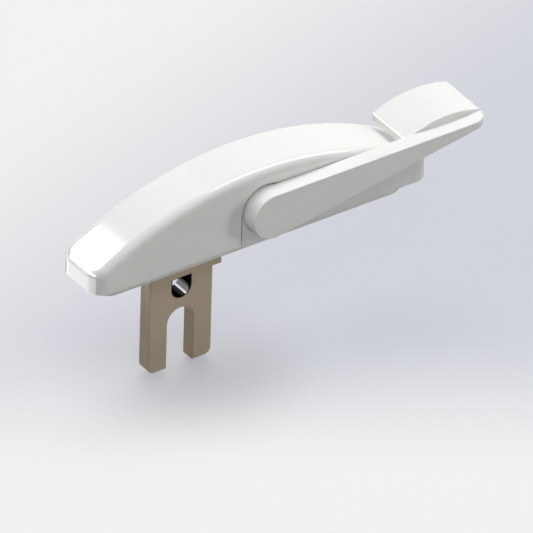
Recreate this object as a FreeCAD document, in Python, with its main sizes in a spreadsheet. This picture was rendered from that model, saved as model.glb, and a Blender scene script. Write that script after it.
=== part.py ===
import FreeCAD, Part

import math
import os
import re

import Sketcher

# Window locking handle.
# The origin is the centre of the cover's rim, on the face of the window frame.
# X runs along the cover towards the lever's tip, Y to the back, Z out of the frame.
# The lever lies on the -Y side and turns about the pivot, an axis along Y.

os.makedirs("parts", exist_ok=True)
doc = FreeCAD.newDocument("window_locking_handle")
sheet = doc.addObject("Spreadsheet::Sheet", "Sizes")

DRIVING_SIZES = {
    "cover": {
        "cover_length": 116.84,
        "cover_width": 19.2,
        "cover_top": 23.6,
        "cover_end": 6.2,
        "cover_wall": 1.7,
        "cover_corner": 4.8,
        "cover_round": 3.0,
        "post_radius": 4.0,
        "post_gap": 0.05,
    },
    "pivot": {
        "pivot_x": 0.7,
        "pivot_z": 10.1,
    },
    "lever": {
        "arm_thick": 4.85,
        "lever_gap": 0.3,
        "lever_round": 7.4,
        "lever_reach": 74.3,
        "throw_angle": 165,
        "tip_height": 1.98,
        "hub_radius": 7.7,
        "hub_gap": 0.9,
        "hub_land": 0.85,
        "hub_step": 0.15,
        "flare_depth": 2.75,
        "flare_reach": 27.5,
        "crease_start": 0.5,
        "tip_corner": 4.5,
        "edge_round": 0.35,
        "tab_length": 26.0,
        "crown_inset": 11.2,
        "tab_peak": 9.7,
        "tab_radius": 32,
        "tab_thick": 2.0,
        "tab_inset": 2.4,
        "tab_edge": 0.4,
        "socket_side": 6.7,
        "socket_depth": 4.95,
        "grub_radius": 1.5,
        "grub_length": 3.2,
        "grub_key": 0.75,
        "grub_key_depth": 1.4,
        "grub_inset": 1.3,
    },
    "base": {
        "floor_thick": 1.6,
        "floor_gap": 0.15,
        "foot_thick": 0.95,
        "foot_gap": 0.4,
        "panel_gap": 0.15,
        "collar_inset": 0.55,
        "boss_depth": 5.0,
        "boss_radius": 5.5,
        "boss_round": 1.0,
        "screw_radius": 2.1,
        "slot_width": 7.2,
        "bearing_thick": 1.7,
        "bearing_foot": 9.0,
    },
    "bushes and washers": {
        "press_gap": 0.02,
        "running_gap": 0.05,
        "side_gap": 0.1,
        "bush_wall": 1.0,
        "bush_flange": 6.3,
        "front_flange_thick": 0.6,
        "rear_flange": 5.0,
        "rear_flange_thick": 0.4,
        "washer_radius": 6.8,
        "washer_thick": 0.3,
        "spring_thick": 0.25,
        "spring_height": 0.5,
        "gear_washer_radius": 4.8,
        "gear_washer_thick": 0.5,
        "clip_radius": 4.4,
        "clip_thick": 0.45,
        "clip_mouth": 2.6,
        "clip_land": 0.18,
        "groove_depth": 0.6,
    },
    "spindle and gear": {
        "journal_radius": 4.2,
        "rear_journal_radius": 2.85,
        "seat_side": 5.8,
        "seat_gap": 0.05,
        "spindle_room": 0.2,
        "gear_module": 1.0,
        "gear_teeth": 21,
        "gear_width": 4.8,
        "gear_hub": 6.0,
        "flank_play": 0.1,
        "pressure_angle": 20,
        "root_factor": 1.25,
    },
    "slide": {
        "slide_gap": 0.15,
        "slide_corner": 0.6,
        "slide_end_gap": 0.2,
        "rack_land": 5.06,
        "slide_bottom": 4.6,
        "tooth_room": 0.3,
        "runner_gap": 0.2,
        "runner_side_gap": 0.3,
        "runner_thick": 1.0,
        "glide_thick": 0.6,
        "glide_inset": 1.0,
        "mortise_length": 6.0,
        "mortise_width": 3.0,
        "mortise_depth": 2.2,
        "mortise_spread": 6.0,
        "pin_radius": 0.7,
        "pin_inset": 0.2,
        "pin_rise": 1.0,
    },
    "fork": {
        "fork_inset": 0.8,
        "fork_width": 22.0,
        "fork_thick": 5.0,
        "fork_bottom": 39.4,
        "fork_corner": 2.25,
        "fork_edge": 0.45,
        "prong_gap": 9.0,
        "prong_crotch": 24.3,
        "shoe_bottom": 8.2,
        "shoe_lap": 2.5,
        "window_half": 3.55,
        "window_low": 12.6,
        "window_top": 8.8,
        "sleeve_wall": 0.35,
        "sleeve_proud": 0.8,
    },
    "keepers": {
        "keeper_thick": 1.0,
        "keeper_gap": 0.3,
        "keeper_width": 8.8,
        "keeper_slot_gap": 0.7,
        "keeper_foot": 6.0,
        "keeper_tip": 16.0,
        "keeper_post_gap": 0.7,
        "keeper_shank": 1.3,
        "keeper_grip": 4.6,
        "keeper_head": 2.4,
        "keeper_head_thick": 1.3,
        "keeper_recess": 1.2,
        "keeper_recess_depth": 0.7,
    },
}

WORKED_OUT_SIZES = {
    "cover_half": "cover_length / 2",
    "cover_face": "cover_width / 2",
    "arch_drop": "cover_top - cover_end",
    "arch_radius": "(cover_half ^ 2 + arch_drop ^ 2) / (2 * arch_drop)",
    "arch_centre": "cover_top - arch_radius",
    "cavity_half": "cover_half - cover_wall",
    "cavity_width": "cover_width - 2 * cover_wall",
    "cavity_radius": "arch_radius - cover_wall",
    "cavity_end": "arch_centre + sqrt(cavity_radius ^ 2 - cavity_half ^ 2)",
    "cavity_corner": "cover_corner - cover_wall",
    "cavity_round": "cover_round - cover_wall",
    "post_start": "floor_thick + post_gap",
    "notch_radius": "hub_radius + hub_gap",
    "notch_left": "pivot_x - notch_radius",
    "notch_right": "pivot_x + notch_radius",
    "arm_back": "cover_face + lever_gap",
    "lever_front": "arm_back + arm_thick",
    "flare_front": "arm_back + flare_depth",
    "front_block": "lever_front - flare_front",
    "tip_low": "lever_round - tip_height",
    "tip_start": "lever_reach - tip_corner",
    "tip_corner_back": "lever_front - tip_corner",
    "tip_distance": "sqrt(lever_reach ^ 2 + tip_low ^ 2)",
    "arm_rise": "atan(tip_low / lever_reach) + asin(lever_round / tip_distance)",
    "hub_rise": "atan(tip_low / lever_reach) + asin(hub_radius / tip_distance)",
    "low_x": "lever_round * sin(arm_rise)",
    "low_drop": "lever_round * cos(arm_rise)",
    "hub_low_x": "hub_radius * sin(hub_rise)",
    "hub_low_drop": "hub_radius * cos(hub_rise)",
    "tab_left": "lever_reach - tab_length",
    "tab_crown": "lever_reach - crown_inset",
    "tab_centre": "tab_peak - tab_radius",
    "tab_inner": "tab_radius - tab_thick",
    "tab_run_left": "tab_crown - tab_left",
    "tab_run_right": "lever_reach - tab_crown",
    "tab_left_top": "tab_centre + sqrt(tab_radius ^ 2 - tab_run_left ^ 2)",
    "tab_right_top": "tab_centre + sqrt(tab_radius ^ 2 - tab_run_right ^ 2)",
    "tab_left_low": "tab_centre + sqrt(tab_inner ^ 2 - tab_run_left ^ 2)",
    "tab_right_low": "tab_centre + sqrt(tab_inner ^ 2 - tab_run_right ^ 2)",
    "tab_back": "cover_face - tab_inset",
    "tab_span": "arm_back + tab_back",
    "socket_half": "socket_side / 2",
    "square_half": "socket_half - running_gap",
    "square_length": "socket_depth - side_gap",
    "floor_half": "cavity_half - floor_gap",
    "floor_face": "cavity_width / 2 - floor_gap",
    "floor_corner": "cavity_corner - floor_gap",
    "foot_left": "notch_left + foot_gap",
    "foot_right": "notch_right - foot_gap",
    "panel_radius": "hub_radius + panel_gap",
    "panel_left": "pivot_x - panel_radius",
    "panel_right": "pivot_x + panel_radius",
    "collar_radius": "notch_radius - panel_gap",
    "collar_left": "pivot_x - collar_radius",
    "collar_right": "pivot_x + collar_radius",
    "collar_face": "cover_face - collar_inset",
    "slot_side": "slot_width / 2",
    "slot_corner": "slide_corner + slide_gap",
    "slot_height": "boss_depth + floor_thick",
    "spindle_end": "cavity_width / 2 - spindle_room",
    "groove_face": "spindle_end - clip_land",
    "clip_face": "groove_face - press_gap",
    "clip_start": "clip_face - clip_thick",
    "rear_flange_face": "clip_start - running_gap",
    "bearing_outer": "rear_flange_face - rear_flange_thick",
    "bearing_inner": "bearing_outer - bearing_thick",
    "bearing_span": "2 * bearing_outer",
    "bearing_room": "2 * bearing_inner",
    "collar_length": "collar_face - bearing_outer",
    "bearing_foot_left": "pivot_x - bearing_foot",
    "bearing_foot_right": "pivot_x + bearing_foot",
    "front_bore": "journal_radius + running_gap",
    "front_barrel": "front_bore + bush_wall",
    "front_seat": "front_barrel + press_gap",
    "rear_bore": "rear_journal_radius + running_gap",
    "rear_barrel": "rear_bore + bush_wall",
    "rear_seat": "rear_barrel + press_gap",
    "front_flange_face": "bearing_outer + front_flange_thick",
    "washer_start": "front_flange_face + running_gap",
    "washer_face": "washer_start + washer_thick",
    "spring_start": "washer_face + running_gap",
    "spring_face": "spring_start + spring_height",
    "hub_back": "spring_face + running_gap",
    "hub_length": "arm_back - hub_back",
    "barrel_radius": "hub_radius - hub_step",
    "dish_inner": "spring_face - spring_thick",
    "dish_outer": "spring_start + spring_thick",
    "groove_radius": "rear_journal_radius - groove_depth",
    "clip_bore": "groove_radius + press_gap",
    "clip_mouth_half": "clip_mouth / 2",
    "seat_front": "bearing_inner - 2 * side_gap",
    "seat_rear": "bearing_inner - gear_washer_thick - 2 * side_gap",
    "seat_half": "seat_side / 2",
    "gear_bore": "seat_half + seat_gap",
    "gear_washer_start": "seat_rear + side_gap",
    "gear_washer_face": "gear_washer_start + gear_washer_thick",
    "seat_length": "seat_front + seat_rear",
    "pitch_radius": "gear_module * gear_teeth / 2",
    "pitch_line": "pivot_z - pitch_radius",
    "tooth_pitch": "pi * gear_module",
    "rack_tip": "pitch_line + gear_module",
    "rack_root": "pitch_line - root_factor * gear_module",
    "tooth_half": "tooth_pitch / 4 - flank_play / 2",
    "tooth_tip_half": "tooth_half - gear_module * tan(pressure_angle)",
    "tooth_root_half": "tooth_half + root_factor * gear_module * tan(pressure_angle)",
    "first_tooth": "pivot_x + tooth_pitch / 2",
    "tooth_root_right": "first_tooth + tooth_root_half",
    "tooth_root_left": "first_tooth - tooth_root_half",
    "tooth_tip_right": "first_tooth + tooth_tip_half",
    "tooth_tip_left": "first_tooth - tooth_tip_half",
    "slide_stroke": "pitch_radius * throw_angle * pi / 180",
    "slide_end": "slide_stroke + rack_land",
    "slide_length": "slide_end + rack_land",
    "rack_teeth": "ceil(slide_stroke / tooth_pitch) + 2",
    "slot_half": "slide_end + slide_end_gap",
    "keeper_riser": "slot_half + keeper_slot_gap",
    "keeper_step": "keeper_riser + keeper_thick",
    "keeper_end": "keeper_step + keeper_foot",
    "keeper_screw_x": "keeper_step + keeper_foot / 2",
    "screw_half": "keeper_end + keeper_post_gap + post_radius",
    "slide_side": "slot_side - slide_gap",
    "groove_side": "gear_width / 2 + tooth_room",
    "groove_width": "2 * groove_side",
    "glide_low": "floor_thick + runner_gap",
    "runner_half": "bearing_inner - runner_side_gap",
    "runner_low": "glide_low + glide_thick",
    "runner_top": "runner_low + runner_thick",
    "glide_start": "slide_side + press_gap",
    "glide_length": "slide_length - 2 * glide_inset",
    "glide_end": "slide_end - glide_inset",
    "fork_left": "slide_end - fork_inset",
    "fork_right": "fork_left - fork_width",
    "shoe_right": "fork_right - shoe_lap",
    "fork_middle": "fork_left - fork_width / 2",
    "prong_half": "prong_gap / 2",
    "prong_left": "fork_middle + prong_half",
    "prong_right": "fork_middle - prong_half",
    "window_left": "fork_middle + window_half",
    "window_right": "fork_middle - window_half",
    "sleeve_half": "window_half - press_gap",
    "sleeve_inner": "sleeve_half - sleeve_wall",
    "sleeve_left": "fork_middle + sleeve_half",
    "sleeve_right": "fork_middle - sleeve_half",
    "sleeve_top": "window_top + press_gap",
    "sleeve_inner_left": "fork_middle + sleeve_inner",
    "sleeve_inner_right": "fork_middle - sleeve_inner",
    "sleeve_inner_top": "sleeve_top + sleeve_wall",
    "sleeve_length": "fork_thick + sleeve_proud",
    "fork_face": "fork_thick / 2",
    "mortise_outer": "fork_middle + mortise_spread + mortise_length / 2",
    "mortise_inner": "fork_middle + mortise_spread - mortise_length / 2",
    "mortise_inner_right": "fork_middle - mortise_spread + mortise_length / 2",
    "mortise_outer_right": "fork_middle - mortise_spread - mortise_length / 2",
    "mortise_top": "slide_bottom - mortise_depth",
    "tenon_width": "mortise_width - 2 * running_gap",
    "tenon_outer": "mortise_outer - running_gap",
    "tenon_inner": "mortise_inner + running_gap",
    "tenon_inner_right": "mortise_inner_right - running_gap",
    "tenon_outer_right": "mortise_outer_right + running_gap",
    "tenon_top": "mortise_top + side_gap",
    "pin_height": "slide_bottom - pin_rise",
    "pin_left": "fork_middle + mortise_spread",
    "pin_right": "fork_middle - mortise_spread",
    "pin_hole": "pin_radius + press_gap",
    "pin_length": "2 * (slide_side - pin_inset)",
    "slide_width": "2 * slide_side",
    "keeper_foot_top": "floor_thick + keeper_thick",
    "keeper_low": "runner_top + keeper_gap",
    "keeper_top": "keeper_low + keeper_thick",
    "keeper_hole": "keeper_shank + side_gap",
    "keeper_screw_hole": "keeper_shank + press_gap",
    "keeper_head_top": "keeper_foot_top + keeper_head_thick",
    "keeper_screw_length": "keeper_thick + keeper_grip",
    "keeper_hole_depth": "keeper_grip + side_gap",
    "grub_back": "arm_back + grub_inset",
    "grub_bore": "grub_radius + press_gap",
    "grub_top": "square_half + press_gap",
    "grub_hole_start": "socket_half - side_gap",
    "grub_low": "grub_top + grub_length",
}


# Two places nearer than this are one place.
CLOSE = 0.01


def fill_sheet():
    """Write every size into the sheet under its own alias."""
    row = 1
    for group, sizes in DRIVING_SIZES.items():
        sheet.set(f"A{row}", group)
        for name, number in sizes.items():
            row += 1
            sheet.set(f"A{row}", name)
            sheet.set(f"B{row}", str(number))
            sheet.setAlias(f"B{row}", name)
        row += 1
    for name, formula in WORKED_OUT_SIZES.items():
        row += 1
        sheet.set(f"A{row}", name)
        sheet.set(f"B{row}", "=" + formula)
        sheet.setAlias(f"B{row}", name)
    doc.recompute()


def size(name):
    """The number behind an alias; a leading minus sign turns it round, and 0 is 0."""
    if name == 0:
        return 0.0
    if name.startswith("-"):
        return -float(sheet.get(name[1:]))
    return float(sheet.get(name))


def cell(name):
    """The expression that reads an alias from the sheet."""
    return re.sub(r"([a-z]\w*)", r"Sizes.\1", name)


# Sketches

def sketch(body, role, name, lift=0):
    """A sketch on one of the body's own origin planes, moved along the plane's normal."""
    drawing = body.newObject("Sketcher::SketchObject", name)
    plane = [part for part in body.Origin.OriginFeatures if part.Role == role][0]
    drawing.AttachmentSupport = [(plane, "")]
    drawing.MapMode = "FlatFace"
    if lift:
        drawing.setExpression("AttachmentOffset.Base.z", cell(lift))
    return drawing


def hold(drawing, number, spot, x, y):
    """Hold one point of a line, arc or circle at a named place."""
    for kind, axis, name in (("DistanceX", -2, x), ("DistanceY", -1, y)):
        if name is None:
            continue
        if name == 0:
            drawing.addConstraint(Sketcher.Constraint("PointOnObject", number, spot, axis))
            continue
        place = drawing.addConstraint(
            Sketcher.Constraint(kind, -1, 1, number, spot, size(name)))
        drawing.setExpression(f"Constraints[{place}]", cell(name))


def bow(start, stop, radius, inward):
    """An arc between two points; an inward one bends into the outline."""
    chord = math.dist(start, stop)
    height = math.sqrt(max(radius ** 2 - chord ** 2 / 4, 0.0))
    side = -1 if inward else 1
    middle = [(a + b) / 2 for a, b in zip(start, stop)]
    along = [(b - a) / chord for a, b in zip(start, stop)]
    centre = (middle[0] - side * along[1] * height, middle[1] + side * along[0] * height)
    ends = (stop, start) if inward else (start, stop)
    angles = [math.atan2(y - centre[1], x - centre[0]) for x, y in ends]
    circle = Part.Circle(FreeCAD.Vector(*centre, 0), FreeCAD.Vector(0, 0, 1), radius)
    return Part.ArcOfCircle(circle, *angles)


def outline(drawing, corners, arcs=None):
    """A closed outline through named corners, given anticlockwise.

    arcs maps a corner's number to the arc that leaves it: its radius, whether it bends
    inward, and for a half circle the named x and y that hold its centre.
    """
    arcs = arcs or {}
    places = [(size(x), size(y)) for x, y in corners]
    first = drawing.GeometryCount
    ends = []
    for step, start in enumerate(places):
        stop = places[(step + 1) % len(places)]
        if step in arcs:
            radius, inward = arcs[step][:2]
            drawing.addGeometry(bow(start, stop, size(radius), inward), False)
            ends.append((2, 1) if inward else (1, 2))
        else:
            line = Part.LineSegment(FreeCAD.Vector(*start, 0), FreeCAD.Vector(*stop, 0))
            drawing.addGeometry(line, False)
            ends.append((1, 2))
    for step, corner in enumerate(corners):
        after = (step + 1) % len(corners)
        drawing.addConstraint(Sketcher.Constraint(
            "Coincident", first + step, ends[step][1], first + after, ends[after][0]))
        hold(drawing, first + step, ends[step][0], *corner)
    for step, arc in arcs.items():
        if len(arc) == 3:
            hold(drawing, first + step, 3, *arc[2])
            continue
        place = drawing.addConstraint(
            Sketcher.Constraint("Radius", first + step, size(arc[0])))
        drawing.setExpression(f"Constraints[{place}]", cell(arc[0]))


def box_outline(drawing, left, right, low, high):
    outline(drawing, [(left, low), (right, low), (right, high), (left, high)])


def circle(drawing, x, y, radius):
    centre = FreeCAD.Vector(size(x), size(y), 0)
    number = drawing.addGeometry(
        Part.Circle(centre, FreeCAD.Vector(0, 0, 1), size(radius)), False)
    hold(drawing, number, 3, x, y)
    place = drawing.addConstraint(Sketcher.Constraint("Radius", number, size(radius)))
    drawing.setExpression(f"Constraints[{place}]", cell(radius))


# Features

def new_body(label, at_pivot=False):
    """A body, with its own origin on the pivot if it turns with the lever."""
    body = doc.addObject("PartDesign::Body", label)
    body.Label = label
    if at_pivot:
        body.setExpression("Placement.Base.x", cell("pivot_x"))
        body.setExpression("Placement.Base.z", cell("pivot_z"))
    return body


def extrusion(body, kind, drawing, length, both, turned):
    before = body.Shape.Volume if body.Tip else 0.0
    feature = body.newObject(kind, drawing.Name + "_solid")
    feature.Profile = drawing
    feature.setExpression("Length", cell(length))
    if both:
        feature.SideType = "Symmetric"
    feature.Reversed = turned
    doc.recompute()
    change = body.Shape.Volume - before
    wanted = 1 if kind.endswith("Pad") else -1
    if change * wanted <= 0:
        states = [(item.Name, item.State) for item in body.Group if not item.isValid()]
        raise RuntimeError(f"{feature.Name} changed the volume by {change:.4f}, {states}")
    return feature


def pad(body, drawing, length, both=False, turned=False):
    return extrusion(body, "PartDesign::Pad", drawing, length, both, turned)


def pocket(body, drawing, length, both=False, turned=False):
    return extrusion(body, "PartDesign::Pocket", drawing, length, both, turned)


def turn(body, drawing):
    """Turn a profile about the sketch's own X, which lies along the pivot."""
    feature = body.newObject("PartDesign::Revolution", drawing.Name + "_solid")
    feature.Profile = drawing
    feature.ReferenceAxis = (drawing, ["H_Axis"])
    feature.Angle = 360
    doc.recompute()
    return feature


def round_off(body, name, radius, wanted):
    """Round the edges of the newest feature that a test picks."""
    base = body.Tip
    edges = [f"Edge{number}" for number, edge in enumerate(base.Shape.Edges, 1)
             if wanted(edge)]
    feature = body.newObject("PartDesign::Fillet", name)
    feature.Base = (base, edges)
    feature.setExpression("Radius", cell(radius))
    doc.recompute()
    return feature


def near(a, b):
    return abs(a - b) < CLOSE


def spans(edge, axis):
    """How far an edge runs along one axis."""
    box = edge.BoundBox
    return {"x": box.XLength, "y": box.YLength, "z": box.ZLength}[axis]


def straight_along(axis):
    """A test for straight edges along one axis."""
    others = [other for other in "xyz" if other != axis]

    def wanted(edge):
        return spans(edge, axis) > CLOSE and all(near(spans(edge, other), 0) for other in others)
    return wanted


def turned_piece(label, corners):
    """A piece turned about the pivot, from its half profile of y and radius."""
    body = new_body(label, at_pivot=True)
    profile = sketch(body, "YZ_Plane", label + "_profile")
    outline(profile, corners)
    turn(body, profile)
    return body


# Cover

def arched_block(body, name, half, end, radius, width):
    """The side view of the cover, or of the space in it: a block with an arched top."""
    side = sketch(body, "XZ_Plane", name)
    outline(side, [("-" + half, 0), (half, 0), (half, end), ("-" + half, end)],
            arcs={2: (radius, False)})
    pad(body, side, width, both=True)


def on_arch(body, radius):
    """A test for the edges round the arched top."""
    top = [face for face in body.Shape.Faces
           if hasattr(face.Surface, "Radius") and near(face.Surface.Radius, size(radius))]
    edges = [edge for face in top for edge in face.Edges]
    return lambda edge: any(edge.isSame(other) or near_edges(edge, other) for other in edges)


def near_edges(one, other):
    return near((one.CenterOfMass - other.CenterOfMass).Length, 0)


def make_cover():
    """Arched shell with a notch for the lever's hub and two screw posts inside."""
    block = new_body("cover_block")
    arched_block(block, "cover_side", "cover_half", "cover_end", "arch_radius", "cover_width")
    round_off(block, "cover_corners", "cover_corner", straight_along("z"))
    round_off(block, "cover_top_round", "cover_round", on_arch(block, "arch_radius"))
    notch = sketch(block, "XZ_Plane", "hub_notch")
    outline(notch, [("notch_left", 0), ("notch_right", 0),
                    ("notch_right", "pivot_z"), ("notch_left", "pivot_z")],
            arcs={2: ("notch_radius", False, (None, "pivot_z"))})
    pocket(block, notch, "cover_width", turned=True)

    space = new_body("cover_space")
    arched_block(space, "space_side", "cavity_half", "cavity_end", "cavity_radius",
                 "cavity_width")
    round_off(space, "space_corners", "cavity_corner", straight_along("z"))
    round_off(space, "space_top_round", "cavity_round", on_arch(space, "cavity_radius"))
    posts = sketch(space, "XY_Plane", "screw_posts", lift="post_start")
    for x in ("-screw_half", "screw_half"):
        circle(posts, x, 0, "post_radius")
        circle(posts, x, 0, "screw_radius")
    pocket(space, posts, "cover_top", turned=True)

    cover = doc.addObject("Part::Cut", "cover")
    cover.Base = block
    cover.Tool = space
    cover.Label = "cover"
    return cover


# Base

def make_base():
    """Cast base: floor, long boss with the slot, two bearing walls, collar round the hub."""
    body = new_body("base")
    boss = sketch(body, "XY_Plane", "boss_plan")
    outline(boss, [("-screw_half", "-boss_radius"), ("screw_half", "-boss_radius"),
                   ("screw_half", "boss_radius"), ("-screw_half", "boss_radius")],
            arcs={1: ("boss_radius", False, ("screw_half", None)),
                  3: ("boss_radius", False, ("-screw_half", None))})
    pad(body, boss, "boss_depth", turned=True)
    round_off(body, "boss_bottom_round", "boss_round",
              lambda edge: near(edge.BoundBox.ZMax, -size("boss_depth")))
    floor = sketch(body, "XY_Plane", "floor_plan")
    box_outline(floor, "-floor_half", "floor_half", "-floor_face", "floor_face")
    pad(body, floor, "floor_thick")
    round_off(body, "floor_corners", "floor_corner",
              lambda edge: straight_along("z")(edge)
              and near(abs(edge.CenterOfMass.x), size("floor_half")))
    foot = sketch(body, "XY_Plane", "foot_plan")
    box_outline(foot, "foot_left", "foot_right", "-cover_face", 0)
    pad(body, foot, "foot_thick")
    panel = sketch(body, "XZ_Plane", "notch_panel", lift="cover_face")
    outline(panel, [("foot_left", 0), ("foot_right", 0), ("foot_right", "pivot_z"),
                    ("panel_right", "pivot_z"), ("panel_left", "pivot_z"),
                    ("foot_left", "pivot_z")],
            arcs={3: ("panel_radius", True, (None, "pivot_z"))})
    pad(body, panel, "cover_wall", turned=True)

    walls = sketch(body, "XZ_Plane", "bearing_side")
    outline(walls, [("bearing_foot_left", "foot_thick"), ("bearing_foot_right", "foot_thick"),
                    ("collar_right", "pivot_z"), ("collar_left", "pivot_z")],
            arcs={2: ("collar_radius", False, (None, "pivot_z"))})
    pad(body, walls, "bearing_span", both=True)
    room = sketch(body, "XZ_Plane", "gear_room")
    box_outline(room, "bearing_foot_left", "bearing_foot_right", "floor_thick", "cover_top")
    pocket(body, room, "bearing_room", both=True)
    collar = sketch(body, "XZ_Plane", "hub_collar", lift="collar_face")
    outline(collar, [("collar_right", "pivot_z"), ("collar_left", "pivot_z"),
                     ("panel_left", "pivot_z"), ("panel_right", "pivot_z")],
            arcs={0: ("collar_radius", False, (None, "pivot_z")),
                  2: ("panel_radius", True, (None, "pivot_z"))})
    pad(body, collar, "collar_length", turned=True)
    front = sketch(body, "XZ_Plane", "front_bearing")
    circle(front, "pivot_x", "pivot_z", "front_seat")
    pocket(body, front, "bearing_outer", turned=True)
    rear = sketch(body, "XZ_Plane", "rear_bearing")
    circle(rear, "pivot_x", "pivot_z", "rear_seat")
    pocket(body, rear, "bearing_outer")

    slot = sketch(body, "XY_Plane", "fork_slot", lift="-boss_depth")
    box_outline(slot, "-slot_half", "slot_half", "-slot_side", "slot_side")
    pocket(body, slot, "slot_height", turned=True)
    round_off(body, "slot_corners", "slot_corner",
              lambda edge: straight_along("z")(edge)
              and near(abs(edge.CenterOfMass.x), size("slot_half"))
              and near(abs(edge.CenterOfMass.y), size("slot_side")))
    screws = sketch(body, "XY_Plane", "mounting_holes", lift="-boss_depth")
    for x in ("-screw_half", "screw_half"):
        circle(screws, x, 0, "screw_radius")
    pocket(body, screws, "slot_height", turned=True)
    holes = sketch(body, "XY_Plane", "keeper_holes", lift="floor_thick")
    for x in ("-keeper_screw_x", "keeper_screw_x"):
        circle(holes, x, 0, "keeper_screw_hole")
    pocket(body, holes, "keeper_hole_depth")
    return body


def make_front_bush():
    return turned_piece("front_bush", [
        ("-front_flange_face", "front_bore"), ("-bearing_inner", "front_bore"),
        ("-bearing_inner", "front_barrel"), ("-bearing_outer", "front_barrel"),
        ("-bearing_outer", "bush_flange"), ("-front_flange_face", "bush_flange")])


def make_rear_bush():
    return turned_piece("rear_bush", [
        ("bearing_inner", "rear_bore"), ("rear_flange_face", "rear_bore"),
        ("rear_flange_face", "rear_flange"), ("bearing_outer", "rear_flange"),
        ("bearing_outer", "rear_barrel"), ("bearing_inner", "rear_barrel")])


def make_keeper(label, mirrored):
    """Stepped strip: its foot is screwed to the floor, its tongue holds the slide down."""
    body = new_body(label)
    sign = "-" if mirrored else ""
    corners = [("keeper_riser", "floor_thick"), ("keeper_end", "floor_thick"),
               ("keeper_end", "keeper_foot_top"), ("keeper_step", "keeper_foot_top"),
               ("keeper_step", "keeper_top"), ("keeper_tip", "keeper_top"),
               ("keeper_tip", "keeper_low"), ("keeper_riser", "keeper_low")]
    side = sketch(body, "XZ_Plane", label + "_side")
    outline(side, [(sign + x, z) for x, z in corners])
    pad(body, side, "keeper_width", both=True)
    hole = sketch(body, "XY_Plane", label + "_hole", lift="keeper_foot_top")
    circle(hole, sign + "keeper_screw_x", 0, "keeper_hole")
    pocket(body, hole, "keeper_foot_top")
    return body


def make_keeper_screws():
    """Two pan-head screws, one through each keeper's foot."""
    screws = []
    for side, x in (("left", "-keeper_screw_x"), ("right", "keeper_screw_x")):
        body = new_body(side + "_keeper_screw")
        shank = sketch(body, "XY_Plane", side + "_shank", lift="keeper_foot_top")
        circle(shank, x, 0, "keeper_shank")
        pad(body, shank, "keeper_screw_length", turned=True)
        head = sketch(body, "XY_Plane", side + "_head", lift="keeper_foot_top")
        circle(head, x, 0, "keeper_head")
        pad(body, head, "keeper_head_thick")
        recess = sketch(body, "XY_Plane", side + "_recess", lift="keeper_head_top")
        circle(recess, x, 0, "keeper_recess")
        pocket(body, recess, "keeper_recess_depth")
        screws.append(body)
    pair = doc.addObject("Part::Compound", "keeper_screws")
    pair.Links = screws
    pair.Label = "keeper_screws"
    return pair


# Lever and what turns with it

def arm_outline(drawing, radius, low_x, low_drop, level_from):
    """Side view of the arm about the pivot: round end, level top, rising lower edge."""
    outline(drawing, [(low_x, "-" + low_drop), ("lever_reach", "tip_low"),
                      ("lever_reach", "lever_round"), (level_from, "lever_round"),
                      (0, radius), ("-" + radius, 0)],
            arcs={4: (radius, False), 5: (radius, False)})


def on_tab_back(edge):
    """The tab's edges away from the arm, but for the lower one."""
    return (near(edge.CenterOfMass.y, size("tab_back"))
            and edge.BoundBox.ZMax > size("tab_left_top") - CLOSE)


def on_tab_left(edge):
    """The top edge of the tab's left end."""
    return (near(edge.CenterOfMass.x, size("tab_left"))
            and near(edge.CenterOfMass.z, size("tab_left_top"))
            and spans(edge, "y") > CLOSE)


def make_lever():
    """One casting: tapered arm, hub that flares towards the cover, arched thumb tab."""
    body = new_body("lever", at_pivot=True)
    front = sketch(body, "XZ_Plane", "arm_front", lift="flare_front")
    arm_outline(front, "lever_round", "low_x", "low_drop", "crease_start")
    pad(body, front, "front_block")
    near_side = sketch(body, "XZ_Plane", "flare_near", lift="flare_front")
    arm_outline(near_side, "lever_round", "low_x", "low_drop", "crease_start")
    far_side = sketch(body, "XZ_Plane", "flare_far", lift="arm_back")
    arm_outline(far_side, "hub_radius", "hub_low_x", "hub_low_drop", "flare_reach")
    flare = body.newObject("PartDesign::AdditiveLoft", "hub_flare")
    flare.Profile = near_side
    flare.Sections = [far_side]
    flare.Ruled = True
    doc.recompute()
    round_off(body, "front_edges", "edge_round",
              lambda edge: near(edge.BoundBox.YMax, -size("lever_front"))
              and not straight_along("z")(edge))
    corner = sketch(body, "XY_Plane", "tip_corner_plan", lift="lever_round")
    outline(corner, [("tip_start", "-lever_front"), ("lever_reach", "-lever_front"),
                     ("lever_reach", "-tip_corner_back")],
            arcs={2: ("tip_corner", True)})
    pocket(body, corner, "lever_round")

    hub = sketch(body, "XZ_Plane", "hub_plan", lift="arm_back")
    circle(hub, 0, 0, "hub_radius")
    pad(body, hub, "hub_land", turned=True)
    barrel = sketch(body, "XZ_Plane", "hub_barrel", lift="arm_back")
    circle(barrel, 0, 0, "barrel_radius")
    pad(body, barrel, "hub_length", turned=True)

    tab = sketch(body, "XZ_Plane", "tab_side", lift="arm_back")
    outline(tab, [("tab_left", "tab_left_low"), ("lever_reach", "tab_right_low"),
                  ("lever_reach", "tab_right_top"), ("tab_left", "tab_left_top")],
            arcs={0: ("tab_inner", True), 2: ("tab_radius", False)})
    pad(body, tab, "tab_span", turned=True)
    round_off(body, "tab_edges", "tab_edge",
              lambda edge: on_tab_back(edge) or on_tab_left(edge))

    socket = sketch(body, "XZ_Plane", "spindle_socket", lift="hub_back")
    box_outline(socket, "-socket_half", "socket_half", "-socket_half", "socket_half")
    pocket(body, socket, "socket_depth", turned=True)
    hole = sketch(body, "XY_Plane", "grub_hole", lift="-grub_hole_start")
    circle(hole, 0, "-grub_back", "grub_bore")
    pocket(body, hole, "hub_radius")
    return body


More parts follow.
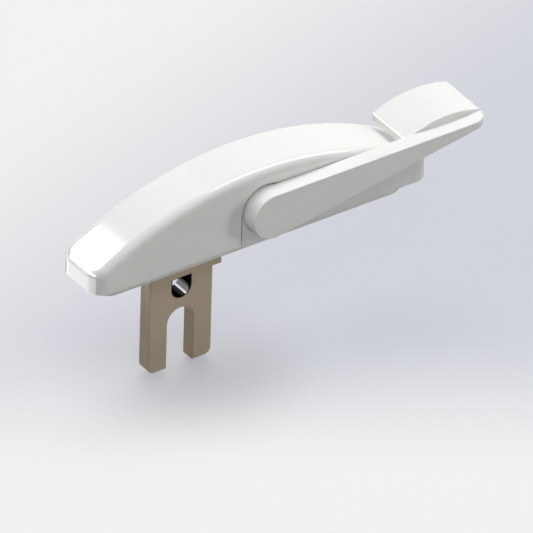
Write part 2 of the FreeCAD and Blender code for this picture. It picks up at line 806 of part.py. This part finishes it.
def make_grub_screw():
    """Hollow-headed screw that locks the lever on its square, from below."""
    body = new_body("grub_screw", at_pivot=True)
    shank = sketch(body, "XY_Plane", "grub_plan", lift="-grub_top")
    circle(shank, 0, "-grub_back", "grub_radius")
    pad(body, shank, "grub_length", turned=True)
    key = sketch(body, "XY_Plane", "grub_recess", lift="-grub_low")
    circle(key, 0, "-grub_back", "grub_key")
    pocket(body, key, "grub_key_depth", turned=True)
    return body


def make_spindle():
    """Steel spindle: square for the lever, front journal, gear seat, rear journal."""
    body = turned_piece("spindle", [
        ("-hub_back", 0), ("spindle_end", 0), ("spindle_end", "rear_journal_radius"),
        ("groove_face", "rear_journal_radius"), ("groove_face", "groove_radius"),
        ("clip_start", "groove_radius"), ("clip_start", "rear_journal_radius"),
        ("-seat_front", "rear_journal_radius"), ("-seat_front", "journal_radius"),
        ("-hub_back", "journal_radius")])
    seat = sketch(body, "XZ_Plane", "gear_seat", lift="-seat_rear")
    box_outline(seat, "-seat_half", "seat_half", "-seat_half", "seat_half")
    pad(body, seat, "seat_length")
    square = sketch(body, "XZ_Plane", "lever_square", lift="hub_back")
    box_outline(square, "-square_half", "square_half", "-square_half", "square_half")
    pad(body, square, "square_length")
    return body


def make_thrust_washer():
    return turned_piece("thrust_washer", [
        ("-washer_face", "front_bore"), ("-washer_start", "front_bore"),
        ("-washer_start", "washer_radius"), ("-washer_face", "washer_radius")])


def make_spring_washer():
    """Dished spring washer that presses the hub away from the bearing."""
    body = new_body("spring_washer", at_pivot=True)
    profile = sketch(body, "YZ_Plane", "dish_profile")
    outline(profile, [("-spring_face", "front_bore"), ("-dish_inner", "front_bore"),
                      ("-spring_start", "washer_radius"), ("-dish_outer", "washer_radius")])
    turn(body, profile)
    return body


def make_gear_washer():
    return turned_piece("gear_washer", [
        ("gear_washer_start", "rear_bore"), ("gear_washer_face", "rear_bore"),
        ("gear_washer_face", "gear_washer_radius"), ("gear_washer_start", "gear_washer_radius")])


def make_retaining_clip():
    """Open ring in the spindle's groove, behind the rear bush."""
    body = turned_piece("retaining_clip", [
        ("clip_start", "clip_bore"), ("clip_face", "clip_bore"),
        ("clip_face", "clip_radius"), ("clip_start", "clip_radius")])
    mouth = sketch(body, "XZ_Plane", "clip_opening")
    box_outline(mouth, "-clip_mouth_half", "clip_mouth_half", "-clip_radius", 0)
    pocket(body, mouth, "spindle_end")
    return body


def involute(angle):
    return math.tan(angle) - angle


def gear_blank(teeth, module):
    """The gear's outline in the plane y = 0, one tooth pointing straight down."""
    pitch = teeth * module / 2
    pressure = math.radians(size("pressure_angle"))
    base = pitch * math.cos(pressure)
    tip, root = pitch + module, pitch - size("root_factor") * module
    half = math.pi / (2 * teeth) - size("flank_play") / (2 * pitch)

    def spread(radius):
        return half + involute(pressure) - involute(math.acos(min(base / radius, 1.0)))

    def spot(radius, angle):
        return FreeCAD.Vector(radius * math.cos(angle), 0, radius * math.sin(angle))

    edges = []
    steps = [base + (tip - base) * share for share in (0, 0.15, 0.4, 0.7, 1)]
    for tooth in range(teeth):
        middle = -math.pi / 2 + tooth * 2 * math.pi / teeth
        after = middle + 2 * math.pi / teeth
        rising = [spot(radius, middle - spread(radius)) for radius in steps]
        falling = [spot(radius, middle + spread(radius)) for radius in reversed(steps)]
        foot_in = spot(root, middle - spread(base))
        foot_out = spot(root, middle + spread(base))
        next_foot = spot(root, after - spread(base))
        for points in (rising, falling):
            flank = Part.BSplineCurve()
            flank.interpolate(points)
            edges.append(flank.toShape())
        edges.append(Part.makeLine(foot_in, rising[0]))
        edges.append(Part.makeLine(falling[-1], foot_out))
        edges.append(Part.Arc(rising[-1], spot(tip, middle), falling[0]).toShape())
        edges.append(Part.Arc(foot_out, spot(root, (middle + after) / 2), next_foot).toShape())
    return Part.Face(Part.Wire(Part.__sortEdges__(edges)))


def make_drive_gear():
    """Pinion on the spindle's square seat, in mesh with the rack below it."""
    width = size("gear_width")
    front, rear = -size("seat_front"), size("seat_rear")
    blank = gear_blank(int(size("gear_teeth")), size("gear_module"))
    blank.translate(FreeCAD.Vector(0, -width / 2, 0))
    along = FreeCAD.Vector(0, 1, 0)
    toothed = blank.extrude(along * width)
    hub = Part.makeCylinder(size("gear_hub"), rear - front, along * front, along)
    side = 2 * size("gear_bore")
    bore = Part.makeBox(side, rear - front, side, FreeCAD.Vector(-side / 2, front, -side / 2))
    gear = doc.addObject("Part::Feature", "drive_gear")
    gear.Shape = toothed.fuse(hub).cut(bore).removeSplitter()
    gear.Placement = FreeCAD.Placement(
        FreeCAD.Vector(size("pivot_x"), 0, size("pivot_z")), FreeCAD.Rotation())
    gear.Label = "drive_gear"
    return gear


# Slide and fork

def on_slide_side(edge):
    """A test for the upright edges at the ends of what runs in the slot."""
    return straight_along("z")(edge) and near(abs(edge.CenterOfMass.y), size("slide_side"))


def make_rack_slide():
    """Steel slide: bar in the slot, runners on the floor, rack teeth in its groove."""
    body = new_body("rack_slide")
    section = sketch(body, "YZ_Plane", "slide_section", lift="-slide_end")
    half = [("slide_side", "-slide_bottom"), ("slide_side", "runner_low"),
            ("runner_half", "runner_low"), ("runner_half", "runner_top"),
            ("groove_side", "runner_top"), ("groove_side", "rack_root")]
    outline(section, half + [("-" + y, z) for y, z in reversed(half)])
    pad(body, section, "slide_length")
    round_off(body, "slide_ends", "slide_corner", on_slide_side)
    tooth = sketch(body, "XZ_Plane", "rack_tooth")
    outline(tooth, [("tooth_root_left", "rack_root"), ("tooth_root_right", "rack_root"),
                    ("tooth_tip_right", "rack_tip"), ("tooth_tip_left", "rack_tip")])
    first = pad(body, tooth, "groove_width", both=True)
    rack = body.newObject("PartDesign::LinearPattern", "rack_teeth_row")
    rack.Originals = [first]
    rack.Direction = (section, ["N_Axis"])
    rack.Reversed = True
    rack.Mode = "Spacing"
    rack.setExpression("Offset", cell("tooth_pitch"))
    rack.setExpression("Occurrences", cell("rack_teeth"))
    body.Tip = rack
    doc.recompute()
    mortises = sketch(body, "XZ_Plane", "mortises")
    for left, right in (("-mortise_outer", "-mortise_inner"),
                        ("-mortise_inner_right", "-mortise_outer_right")):
        box_outline(mortises, left, right, "-slide_bottom", "-mortise_top")
    pocket(body, mortises, "mortise_width", both=True)
    holes = sketch(body, "XZ_Plane", "slide_pin_holes")
    for x in ("-pin_left", "-pin_right"):
        circle(holes, x, "-pin_height", "pin_hole")
    pocket(body, holes, "slide_width", both=True)
    return body


def make_glide(label, near_edge, far_edge):
    """Low-friction strip under one runner."""
    body = new_body(label)
    section = sketch(body, "YZ_Plane", label + "_section", lift="-glide_end")
    box_outline(section, near_edge, far_edge, "glide_low", "runner_low")
    pad(body, section, "glide_length")
    return body


def window_outline(drawing, left, right, top, half):
    """U-shaped window: half-round bottom, straight sides, flat top."""
    outline(drawing, [("-" + left, "-window_low"), ("-" + right, "-window_low"),
                      ("-" + right, "-" + top), ("-" + left, "-" + top)],
            arcs={0: (half, False, (None, "-window_low"))})


def on_plate_rim(edge):
    """A test for the edges round the prongs and sides of the forked plate."""
    box = edge.BoundBox
    return (near(box.YLength, 0) and near(abs(edge.CenterOfMass.y), size("fork_face"))
            and edge.CenterOfMass.z < -size("window_low") - size("window_half")
            or straight_along("z")(edge) and near(box.ZMax, -size("shoe_bottom"))
            and abs(edge.CenterOfMass.x + size("fork_middle")) > size("window_half") + CLOSE)


def make_fork():
    """Forked plate under a long shoe, with two tenons that hold it in the slide."""
    body = new_body("fork")
    plate = sketch(body, "XZ_Plane", "fork_plate")
    box_outline(plate, "-fork_left", "-fork_right", "-fork_bottom", "-shoe_bottom")
    pad(body, plate, "fork_thick", both=True)
    gap = sketch(body, "XZ_Plane", "prong_slot")
    outline(gap, [("-prong_left", "-fork_bottom"), ("-prong_right", "-fork_bottom"),
                  ("-prong_right", "-prong_crotch"), ("-prong_left", "-prong_crotch")],
            arcs={2: ("prong_half", False, (None, "-prong_crotch"))})
    pocket(body, gap, "fork_thick", both=True)
    window = sketch(body, "XZ_Plane", "fork_window")
    window_outline(window, "window_left", "window_right", "window_top", "window_half")
    pocket(body, window, "fork_thick", both=True)
    round_off(body, "prong_corners", "fork_corner",
              lambda edge: straight_along("y")(edge)
              and near(edge.CenterOfMass.z, -size("fork_bottom"))
              and (near(edge.CenterOfMass.x, -size("fork_left"))
                   or near(edge.CenterOfMass.x, -size("fork_right"))))
    round_off(body, "plate_edges", "fork_edge", on_plate_rim)
    shoe = sketch(body, "XZ_Plane", "shoe_side")
    box_outline(shoe, "-slide_end", "-shoe_right", "-shoe_bottom", "-slide_bottom")
    pad(body, shoe, "slide_width", both=True)
    round_off(body, "shoe_ends", "slide_corner", on_slide_side)
    tenons = sketch(body, "XZ_Plane", "tenons")
    for left, right in (("-tenon_outer", "-tenon_inner"),
                        ("-tenon_inner_right", "-tenon_outer_right")):
        box_outline(tenons, left, right, "-slide_bottom", "-tenon_top")
    pad(body, tenons, "tenon_width", both=True)
    holes = sketch(body, "XZ_Plane", "tenon_pin_holes")
    for x in ("-pin_left", "-pin_right"):
        circle(holes, x, "-pin_height", "pin_hole")
    pocket(body, holes, "tenon_width", both=True)
    return body


def make_fork_sleeve():
    """Polished steel liner of the fork's window."""
    body = new_body("fork_sleeve")
    outer = sketch(body, "XZ_Plane", "sleeve_outer", lift="fork_face")
    window_outline(outer, "sleeve_left", "sleeve_right", "sleeve_top", "sleeve_half")
    pad(body, outer, "sleeve_length", turned=True)
    inner = sketch(body, "XZ_Plane", "sleeve_opening", lift="fork_face")
    window_outline(inner, "sleeve_inner_left", "sleeve_inner_right", "sleeve_inner_top",
                   "sleeve_inner")
    pocket(body, inner, "sleeve_length")
    return body


def make_fork_pins():
    """Two cross pins through the slide and the fork's tenons."""
    body_list = []
    for side, x in (("left", "-pin_left"), ("right", "-pin_right")):
        body = new_body(side + "_fork_pin")
        plan = sketch(body, "XZ_Plane", side + "_pin_plan")
        circle(plan, x, "-pin_height", "pin_radius")
        pad(body, plan, "pin_length", both=True)
        body_list.append(body)
    pair = doc.addObject("Part::Compound", "fork_pins")
    pair.Links = body_list
    pair.Label = "fork_pins"
    return pair


def build():
    """Every sub-part, in the order it would go together."""
    return [
        make_base(),
        make_front_bush(),
        make_rear_bush(),
        make_fork(),
        make_fork_sleeve(),
        make_rack_slide(),
        make_fork_pins(),
        make_glide("front_glide", "-runner_half", "-glide_start"),
        make_glide("rear_glide", "glide_start", "runner_half"),
        make_keeper("left_keeper", mirrored=True),
        make_keeper("right_keeper", mirrored=False),
        make_keeper_screws(),
        make_drive_gear(),
        make_gear_washer(),
        make_spindle(),
        make_retaining_clip(),
        make_thrust_washer(),
        make_spring_washer(),
        make_lever(),
        make_grub_screw(),
        make_cover(),
    ]


def check(parts):
    """Stop if any object failed or any sub-part has a bad shape."""
    for item in doc.Objects:
        if "Invalid" in item.State or "Error" in item.State:
            raise RuntimeError(f"{item.Name} is {item.State}")
    for part in parts:
        shape = part.Shape
        if shape.isNull() or not shape.isValid() or shape.Volume <= 0:
            raise RuntimeError(f"{part.Label} has a bad shape")


fill_sheet()
sub_parts = build()
doc.recompute()
check(sub_parts)
for sub_part in sub_parts:
    sub_part.Shape.exportStep(f"parts/{sub_part.Label}.step")
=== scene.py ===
"""Window locking handle: finishes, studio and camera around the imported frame."""
import math

import bpy
from mathutils import Matrix, Vector

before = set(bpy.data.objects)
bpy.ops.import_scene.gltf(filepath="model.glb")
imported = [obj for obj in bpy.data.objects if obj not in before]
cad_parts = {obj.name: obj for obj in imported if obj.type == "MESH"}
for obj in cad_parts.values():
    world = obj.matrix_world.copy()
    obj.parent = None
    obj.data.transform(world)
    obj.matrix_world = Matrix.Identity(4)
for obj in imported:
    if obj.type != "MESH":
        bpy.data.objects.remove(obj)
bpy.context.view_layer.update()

scene = bpy.context.scene
scene.view_settings.view_transform = "Standard"


class Finish:
    """One procedural finish: a material, its shader and the tools to feed it.

    Patterns lie on Object coordinates, in metres: a noise's scale counts its waves to the
    metre, and a relief's depth is in metres.
    """

    def __init__(self, name):
        self.material = bpy.data.materials.new(name)
        self.material.use_nodes = True
        self.tree = self.material.node_tree
        self.shader = self.tree.nodes["Principled BSDF"]
        self.place = self.node("ShaderNodeTexCoord").outputs["Object"]

    def node(self, kind, **settings):
        made = self.tree.nodes.new(kind)
        for key, value in settings.items():
            setattr(made, key, value)
        return made

    def link(self, source, target):
        self.tree.links.new(source, target)

    def feed(self, socket, source):
        """A pattern, led to a socket of the shader."""
        self.link(source, self.shader.inputs[socket])

    def plain(self, **values):
        """Values that are the same all over the surface, set on the shader itself."""
        for socket, value in values.items():
            self.shader.inputs[socket.replace("_", " ")].default_value = value

    def stretched(self, scale):
        """The place on the piece, scaled differently along its three axes."""
        made = self.node("ShaderNodeMapping")
        made.inputs["Scale"].default_value = scale
        self.link(self.place, made.inputs["Vector"])
        return made.outputs["Vector"]

    def noise(self, scale, detail=3.0, rough=0.5, vector=None):
        made = self.node("ShaderNodeTexNoise")
        made.inputs["Scale"].default_value = scale
        made.inputs["Detail"].default_value = detail
        made.inputs["Roughness"].default_value = rough
        self.link(self.place if vector is None else vector, made.inputs["Vector"])
        return made.outputs["Fac"]

    def span(self, source, low, high):
        """A noise, which stays mostly between 0.3 and 0.7, spread from low to high."""
        made = self.node("ShaderNodeMapRange")
        made.inputs["From Min"].default_value = 0.3
        made.inputs["From Max"].default_value = 0.7
        made.inputs["To Min"].default_value = low
        made.inputs["To Max"].default_value = high
        self.link(source, made.inputs["Value"])
        return made.outputs["Result"]

    def mix(self, factor, first, second):
        """A colour from the first, a colour or a socket, at 0 to the second at 1."""
        made = self.node("ShaderNodeMix", data_type="RGBA")
        self.link(factor, made.inputs["Factor"])
        for socket, value in (("A", first), ("B", second)):
            target = next(i for i in made.inputs if i.name == socket and i.type == "RGBA")
            if isinstance(value, tuple):
                target.default_value = (*value, 1.0)
            else:
                self.link(value, target)
        return next(o for o in made.outputs if o.type == "RGBA")

    def drift(self, scale, light, shade, detail=4.0):
        """A base colour that wanders softly between a lighter and a darker tone."""
        amount = self.span(self.noise(scale, detail), 0.0, 1.0)
        self.feed("Base Color", self.mix(amount, light, shade))

    def relief(self, height, depth, strength, under=None):
        """A normal from a height pattern, laid over the relief under it."""
        made = self.node("ShaderNodeBump")
        made.inputs["Strength"].default_value = strength
        made.inputs["Distance"].default_value = depth
        self.link(height, made.inputs["Height"])
        if under is not None:
            self.link(under, made.inputs["Normal"])
        return made.outputs["Normal"]


def gloss_paint(name, light, shade, rough):
    """Stoved white paint: a faint orange peel, tiny dust pips and softly uneven gloss."""
    paint = Finish(name)
    paint.plain(IOR=1.5, Coat_Weight=0.25, Coat_Roughness=0.04, Coat_IOR=1.5)
    paint.drift(60.0, light, shade)
    haze = paint.noise(260.0)
    paint.feed("Roughness", paint.span(haze, rough * 0.8, rough * 1.25))
    peel = paint.relief(paint.noise(520.0, detail=1.0), depth=20e-6, strength=0.25)
    pips = paint.noise(4200.0, detail=2.0)
    paint.feed("Normal", paint.relief(pips, depth=2e-6, strength=0.35, under=peel))
    return paint.material


def cast_paint(name, light, shade, shine):
    """Thin paint over a die-cast surface: satin, with the casting's fine grain under it."""
    paint = Finish(name)
    paint.plain(IOR=1.5, Specular_IOR_Level=shine)
    paint.drift(90.0, light, shade)
    paint.feed("Roughness", paint.span(paint.noise(700.0), 0.34, 0.48))
    paint.feed("Normal", paint.relief(paint.noise(2600.0), depth=10e-6, strength=0.4))
    return paint.material


def brushed_steel(name, light, shade, rough, grain, edge=1.0):
    """Drawn or rolled steel: streaks along the grain's axis, with a soft stain here and there.

    edge is how much of the light that grazes the metal it still mirrors.
    """
    waves_along, waves_across = 260.0, 9000.0
    steel = Finish(name)
    steel.plain(Metallic=1.0, Specular_Tint=(edge, edge, edge, 1.0))
    steel.drift(140.0, light, shade)
    scale = tuple(waves_along if axis == grain else waves_across for axis in "XYZ")
    streaks = steel.noise(1.0, detail=4.0, rough=0.6, vector=steel.stretched(scale))
    steel.feed("Roughness", steel.span(streaks, rough * 0.75, rough * 1.3))
    steel.feed("Normal", steel.relief(streaks, depth=4e-6, strength=0.5))
    return steel.material


def moulded(name, light, shade, rough):
    """Moulded low-friction plastic with a fine spark-eroded grain."""
    plastic = Finish(name)
    plastic.plain(IOR=1.53, Subsurface_Weight=0.05, Subsurface_Scale=0.0004)
    plastic.drift(180.0, light, shade, detail=3.0)
    haze = plastic.noise(900.0, detail=2.0)
    plastic.feed("Roughness", plastic.span(haze, rough * 0.85, rough * 1.15))
    pits = plastic.noise(5200.0, detail=2.0)
    plastic.feed("Normal", plastic.relief(pits, depth=6e-6, strength=0.4))
    return plastic.material


# the finish of each of the record's material slots
FINISHES = {
    "white_paint": gloss_paint(
        "white_gloss_paint", light=(0.87, 0.868, 0.845), shade=(0.855, 0.853, 0.828), rough=0.09),
    "base_paint": cast_paint(
        "base_satin_paint", light=(0.8, 0.805, 0.795), shade=(0.76, 0.765, 0.755), shine=0.5),
    "tan_paint": cast_paint(
        "tan_satin_paint", light=(0.61, 0.5, 0.38), shade=(0.58, 0.474, 0.358), shine=0.12),
    "steel": brushed_steel(
        "plain_steel", light=(0.62, 0.61, 0.59), shade=(0.5, 0.49, 0.47), rough=0.3, grain="X"),
    "dark_steel": brushed_steel(
        "dark_steel", light=(0.13, 0.125, 0.12), shade=(0.09, 0.088, 0.085), rough=0.34,
        grain="X"),
    # the polished steel sleeve is near-black and mirrors little even at grazing angles: a painted
    # dark reflection in its colour, standing in for dark surroundings mirrored in bright steel;
    # its one white streak is a real reflection of a card lamp
    "polished_steel": brushed_steel(
        "painted_dark_reflection_steel", light=(0.022, 0.022, 0.023), shade=(0.019, 0.019, 0.02), rough=0.05,
        grain="Y", edge=0.1),
    "nylon": moulded(
        "natural_nylon", light=(0.8, 0.79, 0.74), shade=(0.76, 0.75, 0.7), rough=0.42),
}

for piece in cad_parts.values():
    for slot in piece.material_slots:
        slot.material = FINISHES[slot.material.name.split(".")[0]]


# just under the fork's prongs
FLOOR_Z = -0.0411
FLOOR_SIDE = 5.0

# lamps light a plain grey floor; the camera also sees its own tone, lavender under the
# handle and fading to pale behind it and in front of it
GREY = (0.42, 0.41, 0.396)
LAVENDER = (0.695, 0.712, 0.79)
PALE = (0.985, 0.985, 0.985)
BEHIND = (-0.287, 0.958, 0.0)
BEHIND_FADE = (0.01, 0.139)
IN_FRONT = (-0.538, -0.843, 0.0)
IN_FRONT_FADE = (-0.01, 0.07)

# how much of the floor's tone the camera sees without the lamps: less near the fork's foot,
# so that the handle's shadow is faint far away and soft but clear under it; as the lamp-lit
# grey is darker than that tone, the lower share also paints a soft shade of its own there
FLOOR_GLOW = 0.815
PAINTED_SHADE_GLOW = 0.51
PAINTED_SHADE_CENTRE = (-0.021, -0.004, FLOOR_Z)
PAINTED_SHADE_REACH = 0.046

bpy.ops.mesh.primitive_grid_add(x_subdivisions=2, y_subdivisions=2, size=FLOOR_SIDE)
floor = bpy.context.object
floor.name = "studio_floor"
floor.data.transform(Matrix.Translation((0.0, 0.0, FLOOR_Z)))


def fade(finish, operation, vector, start, end, at_start=0.0, at_end=1.0):
    """A smooth change over the floor, by the distance along a direction or from a point."""
    measure = finish.node("ShaderNodeVectorMath", operation=operation)
    finish.link(finish.place, measure.inputs[0])
    measure.inputs[1].default_value = vector
    mask = finish.node("ShaderNodeMapRange", interpolation_type="SMOOTHSTEP")
    mask.inputs["From Min"].default_value = start
    mask.inputs["From Max"].default_value = end
    mask.inputs["To Min"].default_value = at_start
    mask.inputs["To Max"].default_value = at_end
    finish.link(measure.outputs["Value"], mask.inputs["Value"])
    return mask.outputs["Result"]


def seen_directly(tree):
    """1 where a thing is seen, by the camera or in metal, paint or glass; 0 where it lights."""
    rays = tree.nodes.new("ShaderNodeLightPath")
    seen = rays.outputs["Is Camera Ray"]
    for kind in ("Is Glossy Ray", "Is Transmission Ray"):
        either = tree.nodes.new("ShaderNodeMath")
        either.operation = "MAXIMUM"
        tree.links.new(seen, either.inputs[0])
        tree.links.new(rays.outputs[kind], either.inputs[1])
        seen = either.outputs["Value"]
    return seen


ground = Finish("studio_floor")
ground.plain(Base_Color=(*GREY, 1.0), Roughness=0.9, Specular_IOR_Level=0.0)
tint = ground.mix(fade(ground, "DOT_PRODUCT", BEHIND, *BEHIND_FADE), LAVENDER, PALE)
tint = ground.mix(fade(ground, "DOT_PRODUCT", IN_FRONT, *IN_FRONT_FADE), tint, PALE)
glow = ground.node("ShaderNodeEmission")
ground.link(tint, glow.inputs["Color"])
share = ground.node("ShaderNodeMath", operation="MULTIPLY")
ground.link(seen_directly(ground.tree), share.inputs[0])
# painted shade: the floor's own glow falls off around the fork's foot, darkening it under any
# light
ground.link(fade(ground, "DISTANCE", PAINTED_SHADE_CENTRE, 0.0, PAINTED_SHADE_REACH, PAINTED_SHADE_GLOW, FLOOR_GLOW),
            share.inputs[1])
blend = ground.node("ShaderNodeMixShader")
ground.link(share.outputs["Value"], blend.inputs["Fac"])
ground.link(ground.shader.outputs["BSDF"], blend.inputs[1])
ground.link(glow.outputs["Emission"], blend.inputs[2])
ground.link(blend.outputs["Shader"], ground.tree.nodes["Material Output"].inputs["Surface"])
floor.data.materials.append(ground.material)


# how far every lamp and card hangs from the handle
REACH = 2.0
WHITE = (1.0, 1.0, 1.0)
COOL = (0.82, 0.93, 1.0)
WARM = (1.0, 0.97, 0.91)

# what lights the handle and leaves no highlight: name, irradiance in units of pi on a face
# turned straight to it, direction from the handle, size and colour
LAMPS = (
    ("overhead", 0.6, (0.2, 0.36, 0.91), (0.8, 0.8), WHITE),
    ("left_high", 0.19, (-0.6, 0.0, 0.8), (0.8, 0.8), COOL),
    ("right_back", 0.22, (0.6, 0.35, 0.7), (1.2, 1.2), WARM),
    ("front_left", 0.18, (-0.25, -0.5, 0.83), (0.5, 0.5), WHITE),
    ("front_right", 0.22, (0.78, -0.6, 0.2), (0.5, 0.5), WHITE),
)

# what paint and metal mirror and nothing else sees: name, radiance, direction and size
CARDS = (
    ("bead", 15.0, (-0.88, 0.15, 0.3), (1.15, 0.55)),
    ("patch", 36.0, (-0.33, 0.68, 0.655), (0.46, 0.59)),
    ("patch_edge", 2.0, (-0.33, 0.68, 0.655), (0.54, 0.68)),
    ("patch_rim", 2.0, (-0.33, 0.68, 0.655), (0.63, 0.78)),
    ("strip", 5.0, (0.55, -0.08, 0.83), (0.6, 1.6)),
    ("slope", 0.5, (0.0, 0.68, 0.74), (1.1, 0.6)),
    ("end_wall", 8.2, (-0.68, 0.68, 0.3), (0.8, 1.3)),
)

# one more card lies on the floor behind the cover's left end, for its upright end face
END_CARD_PLACE = (-0.22, 0.165, FLOOR_Z + 0.001)
END_CARD_SIZE = (0.3, 0.39)
END_CARD_RADIANCE = 4.0

# the world's strength: as light, and as what is seen past the floor and in reflections
AMBIENT = 0.08
SURROUND = 1.0


def lamp_at(name, place, facing, size, power):
    lamp = bpy.data.lights.new(name, "AREA")
    lamp.shape = "RECTANGLE"
    lamp.size, lamp.size_y = size
    lamp.energy = power
    holder = bpy.data.objects.new(name, lamp)
    holder.location = place
    holder.rotation_euler = (-Vector(facing)).to_track_quat("Z", "Y").to_euler()
    holder.visible_camera = False
    scene.collection.objects.link(holder)
    return holder


def soft_lamp(name, level, toward, size, colour):
    aim = Vector(toward).normalized()
    holder = lamp_at(name, aim * REACH, -aim, size, level * (math.pi * REACH) ** 2)
    holder.data.color = colour
    holder.visible_glossy = False


def glint_card(name, radiance, place, facing, size):
    power = radiance * math.pi * size[0] * size[1]
    lamp_at(name, place, facing, size, power).visible_diffuse = False


for lamp_values in LAMPS:
    soft_lamp(*lamp_values)
for name, radiance, toward, size in CARDS:
    aim = Vector(toward).normalized()
    glint_card(name, radiance, aim * REACH, -aim, size)
glint_card("end_card", END_CARD_RADIANCE, END_CARD_PLACE, (0.0, 0.0, 1.0), END_CARD_SIZE)

world = bpy.data.worlds.new("studio")
scene.world = world
world.use_nodes = True
sky = world.node_tree.nodes["Background"]
sky.inputs["Color"].default_value = (*WHITE, 1.0)
strength = world.node_tree.nodes.new("ShaderNodeMapRange")
strength.inputs["To Min"].default_value = AMBIENT
strength.inputs["To Max"].default_value = SURROUND
world.node_tree.links.new(seen_directly(world.node_tree), strength.inputs["Value"])
world.node_tree.links.new(strength.outputs["Result"], sky.inputs["Strength"])


# a parallel view; its three directions were measured in the photograph, in the handle's axes
RIGHT = Vector((0.82503, -0.56459, 0.02193))
UP = Vector((0.30196, 0.47341, 0.82741))
TOWARD = Vector((-0.47753, -0.67602, 0.56106))
PICTURE_CENTRE = Vector((0.001362, -0.009598, -0.010406))
PICTURE_WIDTH = 0.15384
CAMERA_DISTANCE = 0.8

camera_data = bpy.data.cameras.new("camera")
camera_data.type = "ORTHO"
camera_data.ortho_scale = PICTURE_WIDTH
camera = bpy.data.objects.new("camera", camera_data)
turn = Matrix((RIGHT, UP, TOWARD)).transposed().to_4x4()
camera.matrix_world = Matrix.Translation(PICTURE_CENTRE + TOWARD * CAMERA_DISTANCE) @ turn
scene.collection.objects.link(camera)
scene.camera = camera
